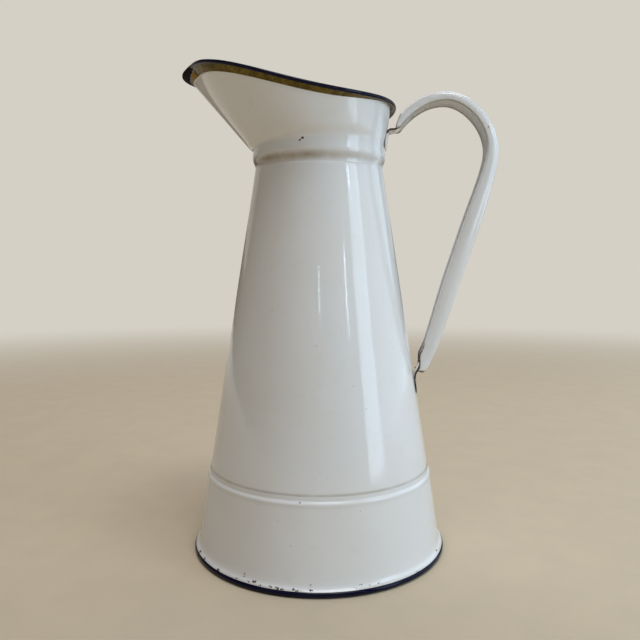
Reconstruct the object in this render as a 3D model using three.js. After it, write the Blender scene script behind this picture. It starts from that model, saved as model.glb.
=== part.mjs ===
// Large enamelled sheet-steel water jug: a conical body with a lapped base band, an oblique
// pouring collar with a turned-out lip, and a bent channel handle on two welded lugs.
// Millimetres, +Z up. The jug is built around its own axis, with the spout towards -X and the
// handle towards +X, and is then moved so that the origin is under the middle of its box.

import * as THREE from 'three';
import { mergeVertices } from 'three/addons/utils/BufferGeometryUtils.js';

// ---------- driving dimensions ----------

const SHEET = 1.2;              // enamelled sheet: 0.8 mm of steel with glass fired on both sides
const GAP = 0.3;                // clearance left between pieces that touch
const RING_STEPS = 64;          // facets around every round piece

// body cone: radius at a reference height, and the radius lost per millimetre of height
const CONE_RADIUS = 86.8;
const CONE_HEIGHT = 64.8;
const CONE_TAPER = 0.1593;
const CONE_BOTTOM = 51;         // lower edge, lapped inside the base band
const CONE_TOP = 307;           // upper edge, inside the collar's neck bead
const LAP_TOP = 67.2;           // the cone steps inwards below this height, to enter the band

// base band: outer radius at the flare and under the shoulder
const BAND_FLARE = { radius: 95.7, height: 10.5 };
const BAND_SHOULDER = { radius: 88.6, height: 60 };
const BAND_TOP = 64.8;

// foot roll: the flattened curl that the jug stands on
const FOOT_RADIUS = 100;
const FOOT_HEIGHT = 4.4;
const FOOT_FLAT = 2;            // how far the curl is drawn out sideways, which flattens its foot
const FOOT_WALL = 1;

// bottom plate: dished disc with a turned-down rim
const PLATE_CROWN = 17.5;
const PLATE_EDGE = 14.2;
const PLATE_RIM_BOTTOM = 7;

// spout collar: an oblique cone standing on the neck circle
const NECK_RADIUS = 51.6;
const NECK_HEIGHT = 310.4;
const COLLAR_LEAN = 0.376;      // shift towards the spout per millimetre of height
const COLLAR_FLARE = 0.502;     // growth of the radius per millimetre of height
const BEAD_RADIUS = 52;
const BEAD_BOTTOM = 300.6;

// the pouring tip is pinched on both sides: how far, between which spreads of angle (radians)
const PINCH_DEPTH = 8.5;
const PINCH_OUTER = 0.55;
const PINCH_INNER = 0.3;

// height of the collar's upper edge, as a polynomial in x / RIM_SPAN, with an extra rise towards
// the handle and one at the pouring tip
const RIM_SPAN = 65.1;
const RIM_HEIGHT = [340.5, -11.4, 10.7, 3.6, -1.3];
const RIM_BACK_RISE = 5.1;
const RIM_TIP_RISE = 3;

// turned-out lip: width and steepness, at the back and sides, and at the pouring tip
const LIP_SIDE = { width: 6.1, angle: 0.8 };
const LIP_TIP = { width: 9.8, angle: 1.1 };
const LIP_TIP_REACH = 2.9;      // how much further out the lip reaches at the very tip
const LIP_TIP_SPREAD = 0.35;    // over what angle (radians)
const LIP_BEAD = 1.45;          // radius of the bead along the lip's edge

// handle: a bent channel, open towards the jug; points are [x, z] on its outer face
const HANDLE_START = [63.2, 338.2];
const HANDLE_TOP = [97, 354];
const HANDLE_OUT = [137.3, 308];
const HANDLE_BEND = [94.5, 160];
const HANDLE_END = [79.2, 136.2];
const HANDLE_WIDTH = 24;
const HANDLE_DEPTH = 13.5;
const HANDLE_CORNER = 5;
const HANDLE_STEPS = 44;

// lugs: the strips that hold the handle off the wall
const LUG_THICKNESS = 1.2;
const LUG_WIDTH = 15;
const LUG_STEPS = 14;

// ---------- materials ----------

function enamel(color, roughness) {
  return new THREE.MeshStandardMaterial({ color, roughness, metalness: 0 });
}

const whiteEnamel = () => enamel(0xe6e6e2, 0.18);
const navyEnamel = () => enamel(0x14162e, 0.2);

// ---------- shared shape makers ----------

function piece(name, geometry, material) {
  geometry.deleteAttribute('normal');
  geometry.deleteAttribute('uv');
  const mesh = new THREE.Mesh(mergeVertices(geometry, 1e-4), material);
  mesh.name = name;
  mesh.geometry.computeVertexNormals();
  return mesh;
}

// A ring-shaped piece. sectionAt(angle) returns its closed cross-section there, as points
// { x, y, z }, always the same number of them, in order round the section.
function ringPiece(sectionAt) {
  const profile = sectionAt(0).map((p) => new THREE.Vector2(Math.hypot(p.x, p.y), p.z));
  const geometry = new THREE.LatheGeometry(profile, RING_STEPS);
  const position = geometry.attributes.position;
  for (let step = 0; step <= RING_STEPS; step++) {
    const angle = ((step % RING_STEPS) / RING_STEPS) * 2 * Math.PI;
    sectionAt(angle).forEach((p, index) => {
      position.setXYZ(step * profile.length + index, p.x, p.y, p.z);
    });
  }
  return geometry;
}

// A round piece whose section is the same all the way round: points are [radius, height].
function turnedPiece(section) {
  return ringPiece((angle) => section.map(([radius, z]) => ({
    x: radius * Math.cos(angle),
    y: radius * Math.sin(angle),
    z,
  })));
}

// Bends a straight bar, extruded along +Z, onto a path in the XZ plane. place(across, depth, s)
// may change a point's coordinates in the bar first; s runs from 0 to 1 along the path.
function bendBar(geometry, length, path, place) {
  const position = geometry.attributes.position;
  for (let i = 0; i < position.count; i++) {
    const s = THREE.MathUtils.clamp(position.getZ(i) / length, 0, 1);
    const [across, depth, along] = place(position.getX(i), position.getY(i), s);
    const centre = path.getPointAt(s);
    const tangent = path.getTangentAt(s);
    position.setXYZ(
      i,
      centre.x + tangent.z * depth + tangent.x * along,
      -across,
      centre.z - tangent.x * depth + tangent.z * along,
    );
  }
  return geometry;
}

function curveThrough(points) {
  return new THREE.CatmullRomCurve3(points.map(([x, z]) => new THREE.Vector3(x, 0, z)));
}

function smooth(from, to, value) {
  return THREE.MathUtils.smoothstep(value, from, to);
}

// ---------- body ----------

function coneRadius(z) {
  return CONE_RADIUS - CONE_TAPER * (z - CONE_HEIGHT);
}

// Outer radius of the straight part of the base band.
function bandRadius(z) {
  const { radius, height } = BAND_SHOULDER;
  return radius + ((BAND_FLARE.radius - radius) * (height - z)) / (height - BAND_FLARE.height);
}

function closed(points) {
  return [...points, points[0]];
}

// Makes a closed section from a wall's outer side, listed upwards, by offsetting it inwards.
function wallSection(outer, thickness) {
  const inner = outer.map(([radius, z]) => [radius - thickness, z]).reverse();
  return closed([...outer, ...inner]);
}

function coneShell() {
  const lapRadius = (z) => bandRadius(z) - SHEET - GAP;
  const outer = [
    [lapRadius(CONE_BOTTOM), CONE_BOTTOM],
    [lapRadius(61), 61],
    [coneRadius(LAP_TOP) + 0.05, 63.8],
    [coneRadius(LAP_TOP), LAP_TOP],
    [coneRadius(180), 180],
    [coneRadius(CONE_TOP), CONE_TOP],
  ];
  return piece('cone_shell', turnedPiece(wallSection(outer, SHEET)), whiteEnamel());
}

function baseBand() {
  const { radius, height } = BAND_SHOULDER;
  const outer = [
    [BAND_FLARE.radius + 1.9, 4.8],
    [BAND_FLARE.radius + 0.95, 6.1],
    [BAND_FLARE.radius + 0.35, 8],
    [BAND_FLARE.radius, BAND_FLARE.height],
    [radius, height],
    [radius - 0.35, height + 2.3],
    [radius - 0.85, height + 3.9],
    [radius - 1.25, BAND_TOP],
  ];
  // the shoulder thins to a rounded edge where it meets the cone
  const clearOfCone = coneRadius(LAP_TOP) + GAP + 0.2;
  const section = wallSection(outer, SHEET).map(([r, z]) => [Math.max(r, clearOfCone), z]);
  return piece('base_band', turnedPiece(section), whiteEnamel());
}

// The curl leaves the band at its top, runs over the outside and underneath, and stops short
// of closing, so that its inside stays open.
function footRoll() {
  const radius = FOOT_HEIGHT / 2;
  const centre = FOOT_RADIUS - radius - FOOT_FLAT / 2;
  const start = 1.79;
  const sweep = 5.5;
  const steps = 9;
  const arc = (size, index) => {
    const angle = start - (sweep * index) / steps;
    const half = (FOOT_FLAT / 2) * THREE.MathUtils.clamp(2 * Math.cos(angle), -1, 1);
    return [centre + half + size * Math.cos(angle), radius + size * Math.sin(angle)];
  };
  const flatten = ([r, z]) => [r, z < 0.12 ? 0 : z];
  const outer = [];
  const inner = [];
  for (let index = 0; index <= steps; index++) {
    outer.unshift(flatten(arc(radius, index)));
    inner.push(arc(radius - FOOT_WALL, index));
  }
  return piece('foot_roll', turnedPiece(closed([...outer, ...inner])), navyEnamel());
}

function bottomPlate() {
  const seat = (z) => bandRadius(z) - SHEET - GAP;
  const rimTop = seat(PLATE_EDGE) - 1.4;
  const section = [
    [0, PLATE_CROWN - SHEET],
    [50, PLATE_CROWN - SHEET - 1],
    [rimTop - 4, PLATE_EDGE - SHEET],
    [seat(12) - SHEET, 11.5],
    [seat(PLATE_RIM_BOTTOM) - SHEET - 0.1, PLATE_RIM_BOTTOM],
    [seat(PLATE_RIM_BOTTOM) - 0.1, PLATE_RIM_BOTTOM],
    [seat(12), 12],
    [rimTop, PLATE_EDGE - 0.3],
    [rimTop - 4, PLATE_EDGE],
    [50, PLATE_CROWN - 1],
    [0, PLATE_CROWN],
  ];
  const profile = section.map(([radius, z]) => new THREE.Vector2(radius, z));
  const geometry = new THREE.LatheGeometry(profile, RING_STEPS);
  geometry.rotateX(Math.PI / 2);
  return piece('bottom_plate', geometry, whiteEnamel());
}

// ---------- spout collar and lip ----------

// 1 in the direction of the pouring tip, falling to 0 over the given spread of angle.
function nearTip(angle, spread) {
  return Math.exp(-(((angle - Math.PI) / spread) ** 2));
}

// A point on the collar's outer face, rise millimetres above the neck circle. drawn is how much
// of the tip's pinch applies there, from 0 on the plain cone to 1 at the lip.
function collarPoint(angle, rise, inset = 0, drawn = 0) {
  const radius = NECK_RADIUS + COLLAR_FLARE * rise - inset;
  const pinch = PINCH_DEPTH * drawn * (nearTip(angle, PINCH_OUTER) - nearTip(angle, PINCH_INNER));
  return {
    x: radius * Math.cos(angle) - COLLAR_LEAN * rise + pinch,
    y: radius * Math.sin(angle),
    z: NECK_HEIGHT + rise,
  };
}

function backRise(x) {
  return RIM_BACK_RISE * Math.max(x / RIM_SPAN, 0) ** 2;
}

function rimHeight(x) {
  return RIM_HEIGHT.reduceRight((sum, factor) => sum * (x / RIM_SPAN) + factor, 0) + backRise(x);
}

// How far the collar rises above the neck circle in one direction, up to the lip.
function collarRise(angle) {
  const tipRise = RIM_TIP_RISE * nearTip(angle, LIP_TIP_SPREAD);
  let rise = 30;
  for (let round = 0; round < 60; round++) {
    const target = rimHeight(collarPoint(angle, rise).x) + tipRise - NECK_HEIGHT;
    rise = (rise + target) / 2;
  }
  return rise;
}

function spoutCollar() {
  const bead = [
    [BEAD_RADIUS - 1.4, BEAD_BOTTOM],
    [BEAD_RADIUS - 0.5, BEAD_BOTTOM + 1.1],
    [BEAD_RADIUS, BEAD_BOTTOM + 2.7],
    [BEAD_RADIUS, BEAD_BOTTOM + 4],
    [BEAD_RADIUS - 0.4, BEAD_BOTTOM + 5.7],
    [BEAD_RADIUS - 0.85, BEAD_BOTTOM + 7.5],
    [BEAD_RADIUS - 0.85, BEAD_BOTTOM + 8.7],
  ];
  const levels = [0, 0.55, 0.8, 1];
  const sectionAt = (angle) => {
    const top = collarRise(angle);
    const wall = (inset) => [
      ...bead.map(([radius, z]) => ({
        x: (radius - inset) * Math.cos(angle),
        y: (radius - inset) * Math.sin(angle),
        z,
      })),
      ...levels.map((level) => collarPoint(angle, level * top, inset, level ** 4)),
    ];
    return closed([...wall(0), ...wall(SHEET).reverse()]);
  };
  return piece('spout_collar', ringPiece(sectionAt), whiteEnamel());
}

// The horizontal direction square to the rim, seen from above.
function rimNormal(angle) {
  const step = 0.01;
  const before = collarPoint(angle - step, collarRise(angle - step), 0, 1);
  const after = collarPoint(angle + step, collarRise(angle + step), 0, 1);
  const length = Math.hypot(after.x - before.x, after.y - before.y);
  return { x: (after.y - before.y) / length, y: (before.x - after.x) / length };
}

// Where the bead's centre lies from the collar's upper edge, out and up: the lip's edge runs
// evenly, so the lip is lower where the collar rises further.
function beadOffset(angle, root) {
  const width = THREE.MathUtils.lerp(LIP_SIDE.width, LIP_TIP.width, nearTip(angle, 1));
  const steep = THREE.MathUtils.lerp(LIP_SIDE.angle, LIP_TIP.angle, nearTip(angle, 1));
  const tip = nearTip(angle, LIP_TIP_SPREAD);
  const reach = width - LIP_BEAD;
  return [
    reach * Math.cos(steep) + LIP_TIP_REACH * tip - 0.12 * backRise(root.x),
    reach * Math.sin(steep) - RIM_TIP_RISE * tip - backRise(root.x),
  ];
}

function lipRoll() {
  const beadSteps = 8;
  const beadSweep = 2.55;
  const sectionAt = (angle) => {
    const root = collarPoint(angle, collarRise(angle), 0, 1);
    const normal = rimNormal(angle);
    const centre = beadOffset(angle, root);
    const steep = Math.atan2(centre[1], centre[0]);
    const at = (out, up) => ({
      x: root.x + normal.x * out,
      y: root.y + normal.y * out,
      z: root.z + up,
    });
    const section = [at(-SHEET, GAP), at(0, GAP)];
    for (let step = 0; step <= beadSteps; step++) {
      const turn = steep + beadSweep * ((2 * step) / beadSteps - 1);
      section.push(at(centre[0] + LIP_BEAD * Math.cos(turn), centre[1] + LIP_BEAD * Math.sin(turn)));
    }
    return closed(section);
  };
  return piece('lip_roll', ringPiece(sectionAt), navyEnamel());
}

// ---------- handle ----------

function handlePath() {
  const bezier = (...points) => new THREE.CubicBezierCurve3(
    ...points.map(([x, z]) => new THREE.Vector3(x, 0, z)),
  );
  const path = new THREE.CurvePath();
  path.add(bezier(HANDLE_START, [72, 347.6], [83, HANDLE_TOP[1]], HANDLE_TOP));
  path.add(bezier(HANDLE_TOP, [117, HANDLE_TOP[1]], [HANDLE_OUT[0], 330], HANDLE_OUT));
  path.add(bezier(HANDLE_OUT, [HANDLE_OUT[0], 285], [115.5, 224], HANDLE_BEND));
  path.add(bezier(HANDLE_BEND, [92.8, 154.8], [88, 141.5], HANDLE_END));
  return path;
}

// Channel section: x across the handle, y from its outer face towards the jug.
function channelShape() {
  const half = HANDLE_WIDTH / 2;
  const corner = HANDLE_CORNER;
  const wall = SHEET;
  const shape = new THREE.Shape();
  shape.moveTo(half, HANDLE_DEPTH);
  shape.lineTo(half - wall, HANDLE_DEPTH);
  shape.absarc(half - corner, corner, corner - wall, 0, -Math.PI / 2, true);
  shape.absarc(-half + corner, corner, corner - wall, -Math.PI / 2, -Math.PI, true);
  shape.lineTo(-half + wall, HANDLE_DEPTH);
  shape.lineTo(-half, HANDLE_DEPTH);
  shape.absarc(-half + corner, corner, corner, -Math.PI, -Math.PI / 2, false);
  shape.absarc(half - corner, corner, corner, -Math.PI / 2, 0, false);
  shape.closePath();
  return shape;
}

function handleStrap() {
  const path = handlePath();
  const length = path.getLength();
  const bar = new THREE.ExtrudeGeometry(channelShape(), {
    depth: length,
    steps: HANDLE_STEPS,
    bevelEnabled: false,
    curveSegments: 4,
  });
  // narrow at both ends and shallow round the arch, with the cheeks running on past the outer
  // face where the handle starts
  const place = (across, depth, s) => {
    const wide = 1 - 0.2 * (1 - smooth(0, 0.3, s)) - 0.2 * smooth(0.6, 1, s);
    const deep = 0.58 + 0.42 * smooth(0.25, 0.6, s) - 0.16 * smooth(0.7, 0.92, s)
      - 0.5 * smooth(0.94, 1, s);
    const cheek = -1.5 * depth * deep * (1 - smooth(0, 0.08, s));
    return [across * wide, depth * deep, cheek];
  };
  return piece('handle_strap', bendBar(bar, length, path, place), whiteEnamel());
}

// A strip of sheet: a pad shaped to the wall below, and a tongue that enters the handle above.
// wallRadius is the wall's radius at the pad, which covers the strip up to padEnd (0 to 1).
function lug(name, points, wallRadius, padEnd) {
  const path = curveThrough(points);
  const length = path.getLength();
  const strip = new THREE.BoxGeometry(LUG_WIDTH, LUG_THICKNESS, length, 6, 1, LUG_STEPS);
  strip.translate(0, 0, length / 2);
  const place = (across, depth, s) => {
    const sag = wallRadius - Math.sqrt(wallRadius ** 2 - across ** 2);
    const onPad = 1 - smooth(padEnd, Math.min(1, padEnd + 0.3), s);
    return [across, depth - sag * onPad, 0];
  };
  return piece(name, bendBar(strip, length, path, place), whiteEnamel());
}

function upperLug() {
  const stand = GAP + LUG_THICKNESS / 2;
  const wallX = (z) => collarPoint(0, z - NECK_HEIGHT).x + stand;
  const points = [
    [wallX(312.5), 312.5],
    [wallX(317) + 0.1, 317],
    [wallX(321) + 0.3, 321],
    [57.6, 325.6],
    [62, 329],
    [71.5, 337.6],
  ];
  return lug('upper_handle_lug', points, NECK_RADIUS, 0.3);
}

function lowerLug() {
  const stand = GAP + LUG_THICKNESS / 2;
  const wallX = (z) => coneRadius(z) + stand;
  const points = [
    [wallX(122), 122],
    [wallX(127) + 0.1, 127],
    [wallX(132) + 0.2, 132],
    [77, 136.8],
    [78.8, 141.5],
    [84.4, 153.5],
  ];
  return lug('lower_handle_lug', points, coneRadius(128), 0.4);
}

// ---------- assembly ----------

const jug = new THREE.Group();
jug.add(
  coneShell(),
  baseBand(),
  footRoll(),
  bottomPlate(),
  spoutCollar(),
  lipRoll(),
  handleStrap(),
  upperLug(),
  lowerLug(),
);

const box = new THREE.Box3().setFromObject(jug);
jug.position.x = -(box.min.x + box.max.x) / 2;

export default jug;
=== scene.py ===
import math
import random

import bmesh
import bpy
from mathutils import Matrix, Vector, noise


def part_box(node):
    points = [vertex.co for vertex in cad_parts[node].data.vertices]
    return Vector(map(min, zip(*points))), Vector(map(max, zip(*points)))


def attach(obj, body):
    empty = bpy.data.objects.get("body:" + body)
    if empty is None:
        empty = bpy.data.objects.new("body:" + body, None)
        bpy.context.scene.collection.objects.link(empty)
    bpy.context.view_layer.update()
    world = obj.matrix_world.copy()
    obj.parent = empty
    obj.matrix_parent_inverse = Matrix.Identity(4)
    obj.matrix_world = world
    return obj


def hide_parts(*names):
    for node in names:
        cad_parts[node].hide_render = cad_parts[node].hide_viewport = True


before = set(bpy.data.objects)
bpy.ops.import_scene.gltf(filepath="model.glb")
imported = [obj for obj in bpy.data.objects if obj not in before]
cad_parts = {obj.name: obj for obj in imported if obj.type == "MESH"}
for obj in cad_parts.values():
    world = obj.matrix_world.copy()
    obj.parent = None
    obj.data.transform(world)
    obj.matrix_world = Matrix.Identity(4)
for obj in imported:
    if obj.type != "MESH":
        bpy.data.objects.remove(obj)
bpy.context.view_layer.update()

# A large enamelled sheet-steel water jug on a pale floor.
#
# Shapes are worked out in millimetres round the jug's own axis, from the same driving sizes as the
# CAD model, and become metres in the frame when each mesh is made. Angles run round that axis from
# the handle: 0 degrees is the handle, 180 the spout and 270 the front.

MM = 0.001
body_low, body_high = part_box("cone_shell")
handle_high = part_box("handle_strap")[1]
AXIS_X = (body_low.x + body_high.x) / 2 / MM

# ---------- driving sizes, in millimetres ----------

SHEET = 1.2
RING_STEPS = 288

# The cone's radius at one height, and how much it narrows per millimetre of height. Its lower end
# is turned in under the band, from LAP_TOP down.
CONE_RADIUS, CONE_HEIGHT, CONE_TAPER = 86.8, 64.8, 0.1593
CONE_BOTTOM, CONE_TOP = 52.0, 299.5
LAP_TOP, LAP_BEND, LAP_GAP = 67.2, 58.0, 0.4

# The band is straight from the top of its flare to the start of its shoulder. FLARE and SHOULDER are
# (radius, height) points on its outer face.
FLARE_RADIUS, FLARE_HEIGHT = 95.7, 10.5
SHOULDER_RADIUS, SHOULDER_HEIGHT = 88.6, 59.5
FLARE = ((99.1, 4.3), (98.5, 4.72), (97.75, 5.35), (97.0, 6.35), (96.45, 7.6), (96.1, 9.0))
SHOULDER = ((88.95, 58.2), (88.90, 59.3), (88.65, 60.1), (88.20, 60.75), (87.70, 61.3),
            (87.35, 61.85), (87.20, 62.6), (87.10, 63.6), (87.00, 64.5))

# How far the hand-worked sheets stand off their true shapes, and the band's dents, each with an
# angle in degrees, a height, a depth and a spread.
CONE_UNEVEN, BAND_UNEVEN, BOTTOM_UNEVEN, COLLAR_UNEVEN = 0.24, 0.14, 0.12, 0.14
DENT_RADIUS = 90
BAND_DENTS = ((264, 43, 0.28, 9), (288, 29, 0.32, 11), (329, 58, -0.35, 7))

# The foot's curl: the middle of the ring, the curl's radius, the flat that it stands on, and the
# angles in radians that it runs through.
FOOT_CENTRE, FOOT_ROLL, FOOT_FLAT, FOOT_SHEET = 96.8, 2.2, 2.0, 1.0
FOOT_START, FOOT_SWEEP, FOOT_STEPS = 1.75, 5.3, 40

BOTTOM_GAP = 0.3

# The collar rises from the neck circle, flares and leans towards the spout. Its tip is pinched.
NECK_RADIUS, NECK_HEIGHT = 51.6, 310.4
COLLAR_LEAN, COLLAR_FLARE = 0.376, 0.502
BEAD_RADIUS, BEAD_BOTTOM = 52.0, 296.4
COLLAR_FILLET, COLLAR_TIP_FILLET = 12.0, 4.5
COLLAR_STEPS = 30
PINCH_DEPTH, PINCH_OUTER, PINCH_INNER = 8.5, 0.55, 0.3

# The rim's height along the jug is a polynomial of x / RIM_SPAN, with a rise at the back and one at
# the tip.
RIM_SPAN = 65.1
RIM_HEIGHT = (340.5, -11.4, 10.7, 3.6, -1.3)
RIM_BACK_RISE, RIM_TIP_RISE = 5.1, 3.0

# The lip's flange, at the sides and at the tip, and the bead that it ends in. The flange meets the
# bead LIP_NECK_BACK behind its centre, and is 2 * LIP_NECK_HALF thick there.
LIP_STEPS = 384
LIP_SIDE_WIDTH, LIP_SIDE_ANGLE = 6.1, 0.8
LIP_TIP_WIDTH, LIP_TIP_ANGLE = 9.7, 1.1
LIP_TIP_REACH, LIP_TIP_SPREAD = 2.9, 0.35
LIP_BEAD, LIP_BEAD_TURN, LIP_BEAD_STEPS = 1.4, 2.25, 14
LIP_NECK_BACK, LIP_NECK_HALF = 1.25, 0.62

# Where the lip's enamel is worn, and where its flange's underside carries a painted reflection of a
# warm floor. The wear spreads round the tip. In the lip's outline, the points up to UNDER_FLANGE are
# under the flange, and those from BEAD_BACK are on the bead's back and above.
TIP_WEAR_SPREAD = 0.45
UNDER_FLANGE, BEAD_BACK = 10.5, 23

# The handle's outer face passes through these (x, z) points.
HANDLE_START = (63.2, 338.2)
HANDLE_TOP = (97.0, 354.0)
HANDLE_OUT = (handle_high.x / MM - AXIS_X, 308.0)
HANDLE_BEND = (94.5, 160.0)
HANDLE_END = (79.2, 136.2)
HANDLE_WIDTH, HANDLE_DEPTH = 24.0, 13.5
HANDLE_ROUND, HANDLE_CURL, HANDLE_CURL_TURN = 0.66, 0.26, 70
HANDLE_END_CUT = 4.5
HANDLE_STEPS = 170

LUG_THICKNESS, LUG_WIDTH = 1.3, 15.0
LUG_STEPS = 80

# ---------- marks of age ----------

# The edge of each chip and stain strays by a share of its radius, in rags of this size.
SPOT_STRAY = 2.4
SPOT_RAG = 1 / 0.9

# Chips along the foot's front, each with an angle in degrees, a height and a size.
FRONT_CHIPS = (
    (228.6, 4.6, 1.1), (240.5, 4.7, 0.5), (243.2, 6.9, 0.5), (246.4, 5.0, 0.55), (248.5, 5.6, 1.0),
    (252, 4.8, 0.6), (256.6, 4.9, 0.8), (259.4, 4.8, 0.9), (261, 4.7, 0.8), (265.6, 5.2, 0.8),
    (267.4, 4.8, 0.6), (272.4, 5.3, 0.85), (290.5, 5.1, 0.4), (216, 4.8, 0.9), (209, 5.0, 1.1),
)

# Dark lines on the glass, each with a height, a spread, and a strength on the spout's side and on
# the handle's. Most are dirt; the lap's and the neck's are painted shade, in the crease above the
# band and under the neck bead.
FOOT_GRIME = (4.4, 1.3, 0.45, 0.35)
# In the crease above the band the dark line is painted shade.
LAP_CREASE_SHADE = (LAP_TOP - 1.9, 1.8, 0.45, 0.40)
# Under the neck bead the dark line is painted shade, stronger on the spout's side.
NECK_PAINTED_SHADE = (300.2, 5.5, 0.85, 0.4)
BOTTOM_GRIME = (8.0, 3.0, 0.5, 0.5)
UPPER_LUG_GRIME = (325, 3.5, 0.7, 0.6)
LOWER_LUG_GRIME = (137, 4, 0.6, 0.6)

HANDLE_SPECK, HANDLE_SPECK_SIZE = (129.0, -HANDLE_WIDTH / 2, 325.2), 1.1

# ---------- colours ----------

WHITE, WARM_WHITE, YELLOWED = (0.80, 0.80, 0.80), (0.78, 0.77, 0.75), (0.62, 0.59, 0.52)
PINHOLE, STAIN = (0.30, 0.22, 0.14), (0.36, 0.24, 0.11)
# The dirt colour also paints shade: in the crease above the band, under the neck bead and along the
# handle's curled edges.
STEEL, RUST, DIRT_AND_SHADE = (0.018, 0.013, 0.011), (0.17, 0.06, 0.018), (0.26, 0.19, 0.11)
NAVY, BLUER_NAVY = (0.006, 0.006, 0.022), (0.002, 0.0025, 0.020)
NAVY_CHIP, WORN_TIP = (0.020, 0.011, 0.008), (0.005, 0.003, 0.004)
# The colours under the lip's flange are a painted reflection of a warm wooden floor, greyer near the
# handle.
DARK_OLIVE_REFLECTION, OLIVE_REFLECTION, GREY_REFLECTION = (0.075, 0.052, 0.006), (0.22, 0.150, 0.020), (0.27, 0.25, 0.20)
AMBER, TAN = (0.30, 0.165, 0.022), (0.28, 0.21, 0.12)
GLASS_IOR = 1.52

WALL_COLOUR = (0.66, 0.63, 0.56)
FLOOR, DARKER_FLOOR, BLACK = (0.58, 0.48, 0.35), (0.555, 0.46, 0.34), (0.0, 0.0, 0.0)
ROOM_LIGHT = (0.095, 0.08, 0.06)
SKY, PANEL, DAYLIGHT = (0.94, 0.97, 1.0), (0.93, 0.97, 1.0), (0.62, 0.81, 1.0)
WARM_WALL, COOL_CEILING = (1.0, 0.97, 0.92), (0.86, 0.92, 1.0)


# ---------- small tools ----------

def lerp(a, b, t):
    return a + (b - a) * t


def smooth(low, high, value):
    t = min(1.0, max(0.0, (value - low) / (high - low)))
    return t * t * (3 - 2 * t)


def bezier(p0, p1, p2, p3, steps):
    """Points on a cubic curve, both ends included."""
    made = []
    for step in range(steps + 1):
        t = step / steps
        weights = ((1 - t) ** 3, 3 * t * (1 - t) ** 2, 3 * t * t * (1 - t), t ** 3)
        made.append(tuple(sum(w * c for w, c in zip(weights, cs)) for cs in zip(p0, p1, p2, p3)))
    return made


def through(points, steps):
    """A smooth line through the points: a Catmull-Rom curve with steps pieces between neighbours."""
    made = []
    last = len(points) - 1
    for i in range(last):
        a, b, c, d = (points[min(max(i + k, 0), last)] for k in (-1, 0, 1, 2))
        for step in range(steps):
            t = step / steps
            made.append(tuple(
                0.5 * (2 * q + (r - p) * t + (2 * p - 5 * q + 4 * r - s) * t * t
                       + (3 * q - p - 3 * r + s) * t ** 3)
                for p, q, r, s in zip(a, b, c, d)))
    return made + [tuple(points[-1])]


def line(start, end, steps):
    """Points on a straight line, both ends included."""
    return [tuple(lerp(a, b, step / steps) for a, b in zip(start, end)) for step in range(steps + 1)]


def even_steps(points, steps):
    """Points spaced evenly along a line of points."""
    lengths = [0.0]
    for a, b in zip(points, points[1:]):
        lengths.append(lengths[-1] + math.dist(a, b))
    made = []
    index = 0
    for step in range(steps + 1):
        want = lengths[-1] * step / steps
        while index < len(points) - 2 and lengths[index + 1] < want:
            index += 1
        share = (want - lengths[index]) / (lengths[index + 1] - lengths[index])
        made.append(tuple(lerp(a, b, share) for a, b in zip(points[index], points[index + 1])))
    return made


def direction(points, i):
    """The direction of a flat line of points at one of them, as a pair of length 1."""
    before, after = points[max(i - 1, 0)], points[min(i + 1, len(points) - 1)]
    length = math.dist(before, after)
    return ((after[0] - before[0]) / length, (after[1] - before[1]) / length)


def beside(face, distance):
    """The points of a flat line, moved to the right of it."""
    moved = []
    for i, point in enumerate(face):
        ahead = direction(face, i)
        moved.append((point[0] + ahead[1] * distance, point[1] - ahead[0] * distance))
    return moved


def rounded_end(centre, outward, half, turns):
    """Points on the round edge of a sheet. outward is the direction in which the edge faces, and
    turns are degrees from it, positive towards the left."""
    made = []
    for turn in turns:
        c, s = math.cos(math.radians(turn)), math.sin(math.radians(turn))
        made.append((centre[0] + half * (outward[0] * c - outward[1] * s),
                     centre[1] + half * (outward[1] * c + outward[0] * s)))
    return made


def sheet_outline(face, thickness):
    """The closed section of a sheet with rounded edges. face runs along its outer face, and the
    sheet lies on the right of it. Point i and the i-th from the end lie opposite each other."""
    half = thickness / 2
    middle = beside(face, half)
    ahead = direction(face, len(face) - 1)
    back = tuple(-part for part in direction(face, 0))
    start = rounded_end(middle[0], back, half, (-20, -60))
    end = rounded_end(middle[-1], ahead, half, (60, 20, -20, -60))
    close = rounded_end(middle[0], back, half, (60, 20))
    return start + list(face) + end + beside(face, thickness)[::-1] + close


def pressed(x, y, z, depth):
    """How far the hand-worked sheet stands off its true shape at a point."""
    slow = noise.noise(Vector((x, y, z)) / 58)
    quick = noise.noise(Vector((x + 300, y, z)) / 21)
    return depth * (slow + 0.3 * quick)


def dent(angle, z, dents):
    """How far dents push the wall in."""
    total = 0.0
    for at, height, depth, spread in dents:
        off = (math.degrees(angle) - at + 180) % 360 - 180
        aside = math.radians(off) * DENT_RADIUS
        total += depth * math.exp(-(aside / spread) ** 2 - ((z - height) / spread) ** 2)
    return total


# ---------- mesh making ----------

def piece(name, node, points, faces, material, tones=None):
    """A finished piece: points are in millimetres round the jug's axis. tones, if given, holds a
    number for each point, which the material reads as the attribute tone."""
    mesh = bpy.data.meshes.new(name)
    mesh.from_pydata([((x + AXIS_X) * MM, y * MM, z * MM) for x, y, z in points], [], faces)
    if tones:
        mesh.attributes.new("tone", "FLOAT", "POINT").data.foreach_set("value", tones)
    work = bmesh.new()
    work.from_mesh(mesh)
    bmesh.ops.recalc_face_normals(work, faces=work.faces)
    work.to_mesh(mesh)
    work.free()
    mesh.shade_smooth()
    mesh.materials.append(material)
    made = bpy.data.objects.new(name, mesh)
    bpy.context.scene.collection.objects.link(made)
    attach(made, "root")
    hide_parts(node)
    return made


def joined(here, ahead, count):
    """The faces between two closed sections of count points, which start at points here and ahead."""
    faces = []
    for i in range(count):
        j = (i + 1) % count
        faces.append((here + i, ahead + i, ahead + j, here + j))
    return faces


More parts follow.
